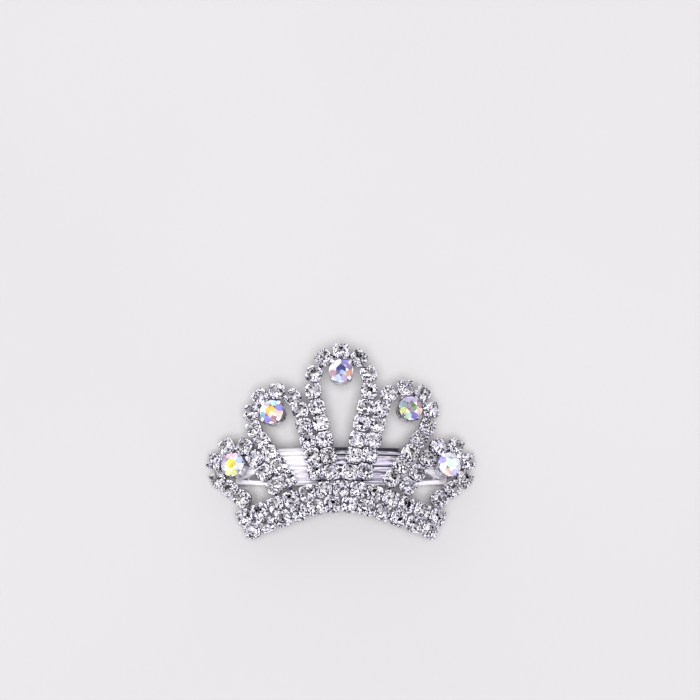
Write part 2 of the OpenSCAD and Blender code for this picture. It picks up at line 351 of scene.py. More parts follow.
@dataclass(frozen=True)
class Plating(Finish):
    """Bright plated metal whose colour is clouded or speckled with painted reflections and painted shade,
    with a fine grain.
    """

    colour: Colour = (0.90, 0.90, 0.93)
    painted_shade_colour: Colour = (0.70, 0.69, 0.75)
    roughness: float = 0.09
    roughness_spread: float = 0.10
    cloud_per_m: float = 420.0
    cloud_edges: tuple[float, float] = (0.42, 0.62)
    grain_per_m: float = 2600.0
    grain_edges: tuple[float, float] = (0.4, 0.8)
    detail: float = 3.0
    stretch: tuple[float, float, float] = (1.0, 1.0, 1.0)
    bump_m: float = 0.000008
    bump_share: float = 0.25

    def shade(self, graph: Graph) -> None:
        """Fills the material's node tree.

        Args:
            graph: the tree.
        """
        # Painted reflections and shade: the cloud mixes the darker shade colour into the metal's colour
        cloud = graph.noise(self.cloud_per_m, self.detail)
        grain = graph.noise(self.grain_per_m, self.detail, self.stretch)
        graph.surface({
            "Base Color": graph.blend(cloud.step_up(*self.cloud_edges), self.colour, self.painted_shade_colour),
            "Metallic": 1.0,
            "Roughness": self.roughness + self.roughness_spread * grain.step_up(*self.grain_edges),
            "Normal": graph.bump(grain, self.bump_share, self.bump_m),
        })


@dataclass(frozen=True)
class RibbedPlating(Finish):
    """Bright sheet with painted reflection bands of dark and pale along its ribs, from its low edge to its
    top edge.
    """

    low: float
    high: float
    fade_left: tuple[float, float] = (-8.5 * MM, -4.5 * MM)
    fade_right: tuple[float, float] = (8.0 * MM, 10.0 * MM)
    slant: float = 2.5 * MM
    end_colour: Colour = (0.97, 0.96, 0.98)
    end_bands: float = 0.25
    end_metal: float = 0.93
    end_roughness: float = 0.58
    middle_roughness: float = 0.28
    streak: float = 0.06
    streak_per_m: float = 600.0
    streak_stretch: tuple[float, float, float] = (0.1, 1.0, 1.0)
    # Painted reflections: place up the plate and tone of each band
    bands: tuple[tuple[float, Sheen], ...] = (
        (0.00, Sheen.PALE),
        (0.07, Sheen.PALE),
        (0.10, Sheen.SLATE),
        (0.14, Sheen.PALE),
        (0.21, Sheen.DUSK),
        (0.25, Sheen.BRIGHT),
        (0.30, Sheen.PALE),
        (0.31, Sheen.DARK),
        (0.35, Sheen.DARK),
        (0.36, Sheen.PALE),
        (0.46, Sheen.BRIGHT),
        (0.47, Sheen.DARK),
        (0.51, Sheen.DARK),
        (0.52, Sheen.BRIGHT),
        (0.60, Sheen.LAVENDER),
        (0.67, Sheen.LAVENDER),
        (0.69, Sheen.DUSK),
        (0.71, Sheen.BRIGHT),
        (0.76, Sheen.BRIGHT),
        (0.78, Sheen.BLACK),
        (0.81, Sheen.BLACK),
        (0.83, Sheen.PALE),
        (0.88, Sheen.PALE),
        (0.91, Sheen.BLACK),
        (1.00, Sheen.BLACK),
    )

    def shade(self, graph: Graph) -> None:
        """Fills the material's node tree. The painted reflection bands are full in the middle and faint at
        the ends.

        Args:
            graph: the tree.
        """
        place = graph.node("ShaderNodeSeparateXYZ")
        graph.feed(place, {"Vector": graph.place()})
        rise = (Signal(graph, place.outputs["Y"]) - self.low) / (self.high - self.low)
        across = Signal(graph, place.outputs["X"])
        stops = [(place_up, sheen.value) for place_up, sheen in self.bands]
        bands = graph.add("ShaderNodeValToRGB", {"stops": stops}, {"Fac": rise}, "Color")
        left = across.step_up(*self.fade_left)
        right = 1.0 - (across - self.slant * rise).step_up(*self.fade_right)
        middle = left * right
        streaks = self.streak * graph.noise(self.streak_per_m, stretch=self.streak_stretch)
        roughness = self.end_roughness - (self.end_roughness - self.middle_roughness) * middle
        graph.surface({
            "Base Color": graph.blend(
                self.end_bands + (1.0 - self.end_bands) * middle, self.end_colour, bands
            ),
            "Metallic": self.end_metal + (1.0 - self.end_metal) * middle,
            "Roughness": roughness + streaks,
        })


@dataclass(frozen=True)
class CutGlass(Finish):
    """Cut glass whose tint is held facet by facet, clear or with a coating, and which glows in its tint as
    painted light.
    """

    ior: float = 1.56
    clearness: float = 1.0
    roughness: float = 0.0
    coat: float = 0.0
    glare: float = 0.25
    mirror: float = 0.0
    painted_glow: float = 0.0

    def shade(self, graph: Graph) -> None:
        """Fills the material's node tree.

        Args:
            graph: the tree.
        """
        tint = graph.add("ShaderNodeVertexColor", {"layer_name": TINT_LAYER}, {}, "Color")
        graph.surface({
            "Base Color": tint,
            "Roughness": self.roughness,
            "IOR": self.ior,
            "Transmission Weight": self.clearness,
            "Specular IOR Level": self.glare,
            "Metallic": self.mirror,
            "Coat Weight": self.coat,
            # Painted light: the glass glows in its facet tint, though it is no lamp
            "Emission Color": tint,
            "Emission Strength": self.painted_glow,
        })


@dataclass(frozen=True)
class FoilBack(Finish):
    """Mirror foil on the underside of a coated stone, coloured by the facet tints, painted dark and white
    reflections among them.
    """

    roughness: float = 0.03

    def shade(self, graph: Graph) -> None:
        """Fills the material's node tree."""
        tint = graph.add("ShaderNodeVertexColor", {"layer_name": TINT_LAYER}, {}, "Color")
        graph.surface({"Base Color": tint, "Metallic": 1.0, "Roughness": self.roughness})


@dataclass(frozen=True)
class PaleFloor(Finish):
    """Plain matt pale floor, very slightly clouded."""

    name: str = "pale_floor"
    colour: Colour = (0.153, 0.150, 0.152)
    cloud_depth: float = 0.97
    cloud_per_m: float = 9.0
    cloud_edges: tuple[float, float] = (0.3, 0.7)
    roughness: float = 0.85

    def shade(self, graph: Graph) -> None:
        """Fills the material's node tree.

        Args:
            graph: the tree.
        """
        cloud = graph.noise(self.cloud_per_m)
        deep = tuple(self.cloud_depth * part for part in self.colour)
        graph.surface({
            "Base Color": graph.blend(cloud.step_up(*self.cloud_edges), self.colour, deep),
            "Roughness": self.roughness,
        })


@dataclass(frozen=True)
class Room:
    """Pale room with dark patches and a round dark one in front, which stones and metal mirror."""

    name: str = "room"
    bright: Colour = (1.80, 1.76, 1.86)
    dim: Colour = (1.38, 1.32, 1.45)
    dark: Colour = (0.004, 0.003, 0.006)
    cloud_scale: float = 2.7
    cloud_edges: tuple[float, float] = (0.40, 0.60)
    patch_scale: float = 9.0
    patch_detail: float = 1.0
    patch_edges: tuple[float, float] = (0.55, 0.58)
    round_outer_deg: float = 9.0
    round_inner_deg: float = 6.0

    def build(self, front: Vector) -> None:
        """Makes the room the scene's world.

        Args:
            front: direction from the clip to the middle of the round dark patch.
        """
        world = bpy.data.worlds.new(self.name)
        bpy.context.scene.world = world
        graph = Graph(world)
        way = graph.add("ShaderNodeTexCoord", output="Generated")
        inputs = {0: way, 1: tuple(front)}
        facing = graph.add("ShaderNodeVectorMath", {"operation": "DOT_PRODUCT"}, inputs, "Value")
        outer = math.cos(math.radians(self.round_outer_deg))
        inner = math.cos(math.radians(self.round_inner_deg))
        inputs = {"Vector": way, "Scale": self.patch_scale, "Detail": self.patch_detail}
        patch = graph.add("ShaderNodeTexNoise", {}, inputs, "Fac")
        inputs = {"Vector": way, "Scale": self.cloud_scale, "Detail": 0.0}
        cloud = graph.add("ShaderNodeTexNoise", {}, inputs, "Fac")
        dark = patch.step_up(*self.patch_edges).larger(facing.step_up(outer, inner))
        pale = graph.blend(cloud.step_up(*self.cloud_edges), self.bright, self.dim)
        colour = graph.blend(dark, pale, self.dark)
        graph.end("ShaderNodeOutputWorld", graph.add("ShaderNodeBackground", {}, {"Color": colour}))


class Bench:
    """Short forms of the edit operators, all on one active object."""

    cut_threshold: float = 1e-7

    @staticmethod
    def clear() -> None:
        """Leaves edit mode and deselects everything."""
        if bpy.context.mode != "OBJECT":
            bpy.ops.object.mode_set(mode="OBJECT")
        bpy.ops.object.select_all(action="DESELECT")

    @classmethod
    def hold(cls, piece: bpy.types.Object) -> None:
        """Makes one object the only selected and active one.

        Args:
            piece: the object.
        """
        cls.clear()
        piece.select_set(True)
        bpy.context.view_layer.objects.active = piece

    @staticmethod
    def add(name: str, mesh: bpy.types.Mesh) -> bpy.types.Object:
        """Adds an object for a mesh.

        Args:
            name: name of the object.
            mesh: its mesh.

        Returns:
            The object.
        """
        piece = bpy.data.objects.new(name, mesh)
        bpy.context.scene.collection.objects.link(piece)
        return piece

    @staticmethod
    def name(name: str) -> bpy.types.Object:
        """Names the active object and its mesh.

        Args:
            name: the new name.

        Returns:
            The active object.
        """
        piece = bpy.context.active_object
        piece.name = name
        piece.data.name = name
        return piece

    @classmethod
    def settle(cls, piece: bpy.types.Object) -> None:
        """Moves an object's place, turn and scale into its mesh."""
        cls.hold(piece)
        bpy.ops.object.transform_apply(location=True, rotation=True, scale=True)

    @classmethod
    def smooth(cls, piece: bpy.types.Object, sharp_deg: float) -> None:
        """Shades an object round, except at edges sharper than an angle."""
        cls.hold(piece)
        bpy.ops.object.shade_smooth_by_angle(angle=math.radians(sharp_deg))

    @classmethod
    def bisect(cls, at: Vector, normal: Vector) -> None:
        """Cuts off all that lies beyond a plane and closes the cut, in edit mode.

        Args:
            at: point on the plane.
            normal: direction of the side that is cut off.
        """
        bpy.ops.mesh.select_all(action="SELECT")
        bpy.ops.mesh.bisect(
            plane_co=at, plane_no=normal, use_fill=True, clear_outer=True, threshold=cls.cut_threshold
        )

    @staticmethod
    def pick_faces(piece: bpy.types.Object, wanted: Callable[[bpy.types.MeshPolygon], bool]) -> None:
        """Selects faces and stays in edit mode.

        Args:
            piece: the active object.
            wanted: says whether a face is to be selected.
        """
        bpy.ops.object.mode_set(mode="EDIT")
        bpy.ops.mesh.select_all(action="DESELECT")
        bpy.ops.object.mode_set(mode="OBJECT")
        for face in piece.data.polygons:
            face.select = wanted(face)
        bpy.ops.object.mode_set(mode="EDIT")

    @staticmethod
    def pick_edges(piece: bpy.types.Object, wanted: Callable[[Vector, Vector], bool]) -> None:
        """Selects edges and stays in edit mode.

        Args:
            piece: the active object.
            wanted: says by the places of an edge's ends whether it is to be selected.
        """
        bpy.ops.object.mode_set(mode="EDIT")
        bpy.ops.mesh.select_mode(type="EDGE")
        bpy.ops.mesh.select_all(action="DESELECT")
        bpy.ops.object.mode_set(mode="OBJECT")
        corners = piece.data.vertices
        for edge in piece.data.edges:
            edge.select = wanted(*(corners[i].co for i in edge.vertices))
        bpy.ops.object.mode_set(mode="EDIT")

    @classmethod
    def join(cls, pieces: list[bpy.types.Object], name: str) -> bpy.types.Object:
        """Joins objects into the first one.

        Args:
            pieces: the objects, two or more.
            name: name of the joined object.

        Returns:
            The joined object.
        """
        cls.clear()
        for piece in pieces:
            piece.select_set(True)
        bpy.context.view_layer.objects.active = pieces[0]
        bpy.ops.object.join()
        return cls.name(name)

    @classmethod
    def copies(cls, pattern: bpy.types.Object, places: list[Matrix], name: str) -> bpy.types.Object:
        """Copies a pattern piece to many places, each copy with its own mesh, and joins the copies.

        Args:
            pattern: the piece modelled once, at the origin. It is deleted.
            places: where each copy goes.
            name: name of the joined piece.

        Returns:
            The joined piece.
        """
        made = []
        for place in places:
            mesh = pattern.data.copy()
            mesh.transform(place)
            made.append(cls.add(name, mesh))
        cls.drop(pattern)
        return cls.join(made, name)

    @staticmethod
    def drop(piece: bpy.types.Object) -> None:
        """Deletes a pattern piece that is no longer needed."""
        bpy.data.objects.remove(piece)


def lean(draw: random.Random, most_deg: float) -> Matrix:
    """Small random tilt, as of a thing set by hand.

    Args:
        draw: random numbers.
        most_deg: greatest tilt about X and about Y.

    Returns:
        The tilting matrix.
    """
    most = math.radians(most_deg)
    about_x = Matrix.Rotation(draw.uniform(-most, most), 4, "X")
    about_y = Matrix.Rotation(draw.uniform(-most, most), 4, "Y")
    return about_x @ about_y


@dataclass(frozen=True)
class Seat:
    """Where one stone sits: its table's middle, its axis, the way to a claw and its diameter."""

    table: Vector
    axis: Vector
    across: Vector
    diameter: float

    def matrix(self, turn: float) -> Matrix:
        """Place of a stone whose own axis is Z and whose table lies at the origin.

        Args:
            turn: extra turn about the axis, in radians.

        Returns:
            The placing matrix, without scale.
        """
        up = self.axis.normalized()
        side = (self.across - up * self.across.dot(up)).normalized()
        back = up.cross(side)
        basis = Matrix((side, back, up)).transposed().to_4x4()
        return Matrix.Translation(self.table) @ basis @ Matrix.Rotation(turn, 4, "Z")


class SeatFinder:
    """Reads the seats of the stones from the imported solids."""

    merge_digits: int = 7
    same_way: float = 0.9999
    claw_ring: tuple[float, float] = (0.36, 0.62)
    claw_rise: float = 0.05
    least_turn_deg: float = -43.0

    def __init__(self, metal_node: str) -> None:
        """Keeps the corners of the metal frame, for the claws."""
        self.metal = self._corners(metal_node)

    @staticmethod
    def _corners(node: str) -> np.ndarray:
        """Corners of a node's mesh.

        Args:
            node: name of the node.

        Returns:
            Their coordinates, a row for each corner.
        """
        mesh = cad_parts[node].data
        flat = np.empty(len(mesh.vertices) * 3, np.float64)
        mesh.vertices.foreach_get("co", flat)
        return flat.reshape(-1, 3)

    def _islands(self, node: str) -> list[tuple[np.ndarray, np.ndarray]]:
        """Splits a node's mesh into its loose solids.

        Args:
            node: name of the node.

        Returns:
            For each solid its triangles' corners and their normals times area.
        """
        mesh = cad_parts[node].data
        mesh.calc_loop_triangles()
        corners = self._corners(node)
        _, merged = np.unique(corners.round(self.merge_digits), axis=0, return_inverse=True)
        merged = merged.reshape(-1)
        triangles = np.array([t.vertices[:] for t in mesh.loop_triangles])
        root = np.arange(merged.max() + 1)

        def find(i: int) -> int:
            """Root of a corner.

            Args:
                i: number of the merged corner.

            Returns:
                Number of the corner that stands for its whole solid.
            """
            while root[i] != i:
                root[i] = root[root[i]]
                i = root[i]
            return i

        for a, b, c in merged[triangles]:
            root[find(b)] = find(a)
            root[find(c)] = find(a)
        owner = np.array([find(i) for i in merged[triangles[:, 0]]])
        solids = []
        for one in dict.fromkeys(owner.tolist()):
            corner = corners[triangles[owner == one]]
            spread = np.cross(corner[:, 1] - corner[:, 0], corner[:, 2] - corner[:, 0]) / 2
            solids.append((corner, spread))
        return solids

    def seats(self, node: str) -> list[Seat]:
        """Seats of the stones in a node, in the node's order."""
        return [self._seat(corner, spread) for corner, spread in self._islands(node)]

    def _seat(self, corner: np.ndarray, spread: np.ndarray) -> Seat:
        """Seat of one stone, whose table is its widest flat side.

        Args:
            corner: corners of its triangles.
            spread: their normals times area.

        Returns:
            The seat.
        """
        area = np.linalg.norm(spread, axis=1)
        facing = spread / area[:, None]
        together = facing @ facing.T > self.same_way
        table = together[int(np.argmax(together @ area))]
        axis = spread[table].sum(0)
        axis /= np.linalg.norm(axis)
        middle = (corner[table].mean(1) * area[table, None]).sum(0) / area[table].sum()
        points = corner.reshape(-1, 3) - middle
        heights = points @ axis
        diameter = 2 * np.linalg.norm(points - heights[:, None] * axis, axis=1).max()
        return Seat(Vector(middle), Vector(axis), self._claw_side(middle, axis, diameter), diameter)

    def _claw_side(self, middle: np.ndarray, axis: np.ndarray, diameter: float) -> Vector:
        """Direction from a stone's axis to one of its claws, always the first one past the least turn.

        Args:
            middle: middle of the stone's table.
            axis: the stone's axis.
            diameter: the stone's diameter.

        Returns:
            The direction, square to the axis.
        """
        near = self.metal - middle
        heights = near @ axis
        flat = near - heights[:, None] * axis
        reach = np.linalg.norm(flat, axis=1) / diameter
        inner, outer = self.claw_ring
        grip = (reach > inner) & (reach < outer) & (abs(heights) < self.claw_rise * diameter)
        side = np.cross([0.0, 1.0, 0.0], axis)
        side /= np.linalg.norm(side)
        back = np.cross(axis, side)
        turns = CLAWS * np.arctan2(flat[grip] @ back, flat[grip] @ side)
        turn = math.atan2(np.sin(turns).sum(), np.cos(turns).sum()) / CLAWS
        least = math.radians(self.least_turn_deg)
        turn = least + (turn - least) % (math.tau / CLAWS)
        return Vector(side * math.cos(turn) + back * math.sin(turn))


@dataclass
class BrilliantCut:
    """A round stone of unit diameter, cut facet by facet from a round blank. Its table is at Z 0."""

    glass: bpy.types.Material
    foil: bpy.types.Material | None = None
    radius: float = 0.5
    table: float = 0.50
    crown_angle: float = 35.0
    star_angle: float = 20.0
    upper_angle: float = 41.0
    girdle: float = 0.03
    pavilion_angle: float = 39.0
    lower_angle: float = 41.0
    mains: int = 8
    blank_sides: int = 32
    split_mains: bool = False
    name: str = "stone_pattern"

    @property
    def crown_height(self) -> float:
        """Height of the crown above the girdle."""
        return (self.radius - self.table / 2) * math.tan(math.radians(self.crown_angle))

    def _ring(self, count: int, turn: float, radius: float, height: float, angle: float, up: int) -> None:
        """Cuts a ring of facets.

        Args:
            count: how many facets.
            turn: azimuth of the first one, in degrees.
            radius: distance from the axis at which each facet's plane passes the height.
            height: that height.
            angle: slope of the facets, in degrees.
            up: 1 on the crown, -1 on the pavilion.
        """
        slope = math.radians(angle)
        for i in range(count):
            azimuth = math.radians(turn + 360.0 * i / count)
            out = Vector((math.cos(azimuth), math.sin(azimuth), 0.0))
            normal = out * math.sin(slope) + Vector((0.0, 0.0, up * math.cos(slope)))
            Bench.bisect(out * radius + Vector((0.0, 0.0, height)), normal)

    def cut(self) -> bpy.types.Object:
        """Cuts the stone. Its table, and its main facets if wanted, are split, for a tint on each part.

        Returns:
            The pattern stone, of glass all round or with foil on its underside.
        """
        low = -self.crown_height - self.girdle
        depth = self.radius * math.tan(math.radians(self.lower_angle))
        Bench.clear()
        bpy.ops.mesh.primitive_cylinder_add(
            vertices=self.blank_sides,
            radius=self.radius,
            depth=depth - low,
            location=(0.0, 0.0, (low - depth) / 2),
        )
        stone = Bench.name(self.name)
        Bench.settle(stone)
        bpy.ops.object.mode_set(mode="EDIT")
        step = 360.0 / self.mains
        inner = self.table / 2 * math.cos(math.radians(step / 2))
        self._ring(self.mains, 0.0, self.table / 2, 0.0, self.crown_angle, 1)
        self._ring(self.mains, step / 2, inner, 0.0, self.star_angle, 1)
        self._ring(2 * self.mains, step / 4, self.radius, -self.crown_height, self.upper_angle, 1)
        self._ring(self.mains, 0.0, self.radius, low, self.pavilion_angle, -1)
        self._ring(2 * self.mains, step / 4, self.radius, low, self.lower_angle, -1)
        split = {Facet.TABLE, Facet.MAIN} if self.split_mains else {Facet.TABLE}
        Bench.pick_faces(stone, lambda face: Facet.of(face) in split)
        bpy.ops.mesh.poke()
        bpy.ops.object.mode_set(mode="OBJECT")
        stone.data.materials.append(self.glass)
        if self.foil:
            stone.data.materials.append(self.foil)
        for face in stone.data.polygons:
            face.material_index = int(bool(self.foil) and Facet.of(face) is Facet.UNDER)
            face.use_smooth = False
        return stone


def paint(
    mesh: bpy.types.Mesh,
    tint_of: Callable[[bpy.types.MeshPolygon], Colour],
    shimmer: float,
    draw: random.Random,
) -> None:
    """Writes the tint of each facet as a colour attribute.

    Args:
        mesh: the mesh.
        tint_of: gives the colour of a face.
        shimmer: greatest loss of light at a corner.
        draw: random numbers, for the shimmer.
    """
    layer = mesh.color_attributes.new(TINT_LAYER, "FLOAT_COLOR", "CORNER")
    for face in mesh.polygons:
        colour = tint_of(face)
        for loop in face.loop_indices:
            light = 1.0 - shimmer * draw.random()
            layer.data[loop].color = (*(light * part for part in colour), 1.0)


@dataclass
class StoneChain:
    """One chain of small stones, clear all round. A facet draws its depth from the list of its kind; low
    depths are painted dark reflections.
    """

    node: str
    seed: int
    tilt_deg: float = 3.5
    turn_deg: float = 45.0
    shimmer: float = 0.20
    lavender: Colour = (0.93, 0.92, 1.0)
    lavender_share: float = 0.5
    grey: Colour = (0.88, 0.88, 0.90)
    # Painted dark reflections: near black for facets at depth 0
    painted_dark: Colour = (0.0008, 0.0004, 0.0030)
    depths: dict[Facet, tuple[float, ...]] = field(default_factory=lambda: {
        Facet.TABLE: (0.0, 0.0, 0.0, 1.0, 1.0, 1.0, 1.0, 1.0),
        Facet.STAR: (0.0, 0.0, 0.9, 1.0, 1.0),
        Facet.MAIN: (0.0, 0.0, 0.0, 0.9, 1.0, 1.0, 1.0),
        Facet.RIM: (0.0, 0.0, 0.9, 1.0, 1.0),
        Facet.UNDER: (0.0, 0.0, 0.6, 1.0, 1.0, 1.0),
    })

    def _tint(self, draw: random.Random) -> Colour:
        """Slight tint of one stone.

        Args:
            draw: random numbers.

        Returns:
            A colour between clear and lavender, or between clear and grey.
        """
        share = draw.random()
        other = self.lavender if draw.random() < self.lavender_share else self.grey
        return tuple(1.0 + share * (part - 1.0) for part in other)

    def _facet(self, draw: random.Random, face: bpy.types.MeshPolygon, tint: Colour) -> Colour:
        """Tint of one facet of the upright stone: the stone's tint at some depth, or near black, a painted
        dark reflection.
        """
        depth = draw.choice(self.depths[Facet.of(face)])
        return tuple(depth * part for part in tint) if depth else self.painted_dark

    def build(self, pattern: bpy.types.Object, seats: list[Seat]) -> bpy.types.Object:
        """Places a stone in each seat.

        Args:
            pattern: stone of unit diameter.
            seats: seats of the chain.

        Returns:
            The chain's stones as one piece.
        """
        draw = random.Random(self.seed)
        made = []
        for seat in seats:
            tilt = lean(draw, self.tilt_deg)
            turn = draw.uniform(0.0, math.radians(self.turn_deg))
            mesh = pattern.data.copy()
            tint = self._tint(draw)
            paint(mesh, lambda face, tint=tint: self._facet(draw, face, tint), self.shimmer, draw)
            mesh.transform(seat.matrix(turn) @ tilt @ Matrix.Scale(seat.diameter, 4))
            made.append(Bench.add(self.node, mesh))
        piece = Bench.join(made, self.node + "_cut")
        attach(piece, "root")
        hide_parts(self.node)
        return piece


@dataclass(frozen=True)
class Coating:
    """Tints of one coated stone, in its table, in a painted glint beside it and all round, and its turn.
    """

    table: Tint
    glint: Tint
    glint_deg: float
    ring: tuple[Tint, ...]
    turn_deg: float = 22.5


@dataclass
class Crystal:
    """One large coated stone. Each tone below is a share of white, partly paler coating and partly painted
    glint, and a depth, low for painted dark.
    """

    node: str
    coating: Coating
    glint_half_deg: float = 40.0
    sector_lead_deg: float = 3.0
    shimmer: float = 0.42
    calm: float = 0.34
    tones: dict[Facet, tuple[tuple[float, float], ...]] = field(default_factory=lambda: {
        Facet.TABLE: ((0.0, 1.0), (0.0, 0.7), (0.1, 1.0)),
        Facet.STAR: ((0.8, 1.0), (0.4, 0.9), (0.2, 0.3)),
        Facet.RIM: ((0.0, 1.0), (0.5, 1.0), (1.0, 1.0), (0.3, 0.1)),
        Facet.UNDER: ((0.3, 1.0), (0.7, 1.0), (0.2, 0.2)),
    })

    @staticmethod
    def _toned(tint: Colour, tone: tuple[float, float]) -> Colour:
        """Tint with a share of white, partly paler coating and partly painted glint, and the depth of the
        whole, low for a painted dark reflection.
        """
        white_share, depth = tone
        return tuple(depth * (part + white_share * (1.0 - part)) for part in tint)

    def _calmed(self, tint: Colour) -> Colour:
        """Tint with a share of its own grey."""
        grey = sum(tint) / len(tint)
        return tuple(part + self.calm * (grey - part) for part in tint)

    def _facet(self, draw: random.Random, face: bpy.types.MeshPolygon, first: float) -> Colour:
        """Tint of a facet of the upright stone, by its kind and by the way that it faces.

        Args:
            draw: random numbers.
            face: the facet.
            first: azimuth of the seated stone's own X axis, in radians.

        Returns:
            The colour. A main facet has its sector's plain tint.
        """
        kind = Facet.of(face)
        azimuth = math.atan2(face.center.y, face.center.x) + first
        sectors = self.coating.ring
        share = (azimuth + math.radians(self.sector_lead_deg)) / math.tau
        tint = self._calmed(sectors[math.floor(share * len(sectors)) % len(sectors)].value)
        if kind is Facet.MAIN:
            return tint
        # The table's painted glint: triangles towards the glint's side take its tint
        if kind is Facet.TABLE:
            aside = math.cos(azimuth - math.radians(self.coating.glint_deg))
            lit = aside > math.cos(math.radians(self.glint_half_deg))
            tint = (self.coating.glint if lit else self.coating.table).value
        return self._toned(tint, draw.choice(self.tones[kind]))

    def build(self, pattern: bpy.types.Object, seat: Seat) -> bpy.types.Object:
        """Places the stone in its seat.

        Args:
            pattern: stone of unit diameter.
            seat: its seat.

        Returns:
            The stone.
        """
        mesh = pattern.data.copy()
        place = seat.matrix(math.radians(self.coating.turn_deg))
        turned = place.to_3x3() @ Vector((1, 0, 0))
        first = math.atan2(turned.y, turned.x)
        draw = random.Random(self.node)
        paint(mesh, lambda face: self._facet(draw, face, first), self.shimmer, draw)
        mesh.transform(place @ Matrix.Scale(seat.diameter, 4))
        piece = Bench.add(self.node + "_cut", mesh)
        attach(piece, "root")
        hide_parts(self.node)
        return piece


@dataclass
class SmoothCopy:
    """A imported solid's own shape with merged corners and round shading, in its finish."""

    node: str
    slot: Slot
    finish: bpy.types.Material
    merge_m: float = 1e-6
    sharp_deg: float = 34.0

    def build(self) -> bpy.types.Object:
        """Copies, merges and smooths the node's mesh.

        Returns:
            The piece that stands in for the node.
        """
        piece = Bench.add(self.node + "_finished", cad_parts[self.node].data.copy())
        Bench.hold(piece)
        bpy.ops.object.mode_set(mode="EDIT")
        bpy.ops.mesh.select_all(action="SELECT")
        bpy.ops.mesh.remove_doubles(threshold=self.merge_m)
        Bench.smooth(piece, self.sharp_deg)
        piece.data.materials.clear()
        piece.data.materials.append(self.finish)
        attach(piece, "root")
        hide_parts(self.node)
        return piece


@dataclass
class CupRims:
    """Rounded square rims of the small cups. They nearly meet, as the cups of a chain do."""

    name: str
    finish: bpy.types.Material
    seed: int = 11
    side: float = 3.04 * MM
    corner: float = 0.86 * MM
    corner_steps: int = 3
    height: float = 0.60 * MM
    wall: float = 0.36 * MM
    top_edge: float = 0.14 * MM
    top_edge_steps: int = 2
    below_table: float = 0.60 * MM
    turn_deg: float = 45.0
    tilt_deg: float = 4.0
    sharp_deg: float = 50.0

    def _pattern(self) -> bpy.types.Object:
        """Models one rim.

        Returns:
            The rim, with its top at Z 0 and its sides along X and Y.
        """
        Bench.clear()
        bpy.ops.mesh.primitive_cube_add(size=1.0, location=(0.0, 0.0, -self.height / 2))
        rim = Bench.name(self.name + "_pattern")
        rim.scale = (self.side, self.side, self.height)
        Bench.settle(rim)
        Bench.pick_edges(rim, lambda a, b: abs(a.z - b.z) > self.height / 2)
        bpy.ops.mesh.bevel(offset=self.corner, segments=self.corner_steps)
        Bench.pick_edges(rim, lambda a, b: min(a.z, b.z) > -self.height / 4)
        bpy.ops.mesh.bevel(offset=self.top_edge, segments=self.top_edge_steps)
        Bench.pick_faces(rim, lambda face: abs(face.normal.z) > FLAT)
        bpy.ops.mesh.select_mode(type="FACE")
        bpy.ops.mesh.inset(thickness=self.wall - self.top_edge, use_individual=True)
        bpy.ops.mesh.bridge_edge_loops()
        Bench.smooth(rim, self.sharp_deg)
        return rim

    def build(self, seats: list[Seat]) -> bpy.types.Object:
        """Places a rim round each seat.

        Args:
            seats: the stones' seats.

        Returns:
            All the rims as one piece.
        """
        draw = random.Random(self.seed)
        turn = math.radians(self.turn_deg)
        down = Matrix.Translation((0.0, 0.0, -self.below_table))
        places = [seat.matrix(turn) @ down @ lean(draw, self.tilt_deg) for seat in seats]
        piece = Bench.copies(self._pattern(), places, self.name)
        piece.data.materials.append(self.finish)
        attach(piece, "root")
        return piece


@dataclass
class ClawTips:
    """Rounded tips of the claws, pressed over the stones' edges."""

    name: str
    finish: bpy.types.Material
    length: float = 0.58 * MM
    width: float = 0.48 * MM
    height: float = 0.34 * MM
    radius: float = 1.38 * MM
    sink: float = 0.13 * MM
    taper: float = 0.62
    round_off: float = 0.11 * MM
    round_steps: int = 3
    sharp_deg: float = 50.0

    def _pattern(self) -> bpy.types.Object:
        """Models one tip.

        Returns:
            The tip, lying along X, with its narrow end towards the stone.
        """
        Bench.clear()
        bpy.ops.mesh.primitive_cube_add(size=1.0)
        tip = Bench.name(self.name + "_pattern")
        tip.scale = (self.length, self.width, self.height)
        Bench.settle(tip)
        Bench.pick_faces(tip, lambda face: face.normal.x < -FLAT)
        bpy.ops.transform.resize(value=(1.0, self.taper, self.taper))
        bpy.ops.object.mode_set(mode="OBJECT")
        bevel = tip.modifiers.new("rounding", "BEVEL")
        bevel.width = self.round_off
        bevel.segments = self.round_steps
        bevel.limit_method = "NONE"
        bpy.ops.object.modifier_apply(modifier=bevel.name)
        Bench.smooth(tip, self.sharp_deg)
        return tip

    def build(self, seats: list[Seat]) -> bpy.types.Object:
        """Places the tips round each seat.

        Args:
            seats: the stones' seats.

        Returns:
            All the tips as one piece.
        """
        out = Matrix.Translation((self.radius, 0.0, -self.sink))
        turns = [math.tau * i / CLAWS for i in range(CLAWS)]
        places = [seat.matrix(turn) @ out for seat in seats for turn in turns]
        piece = Bench.copies(self._pattern(), places, self.name)
        piece.data.materials.append(self.finish)
        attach(piece, "root")
        return piece


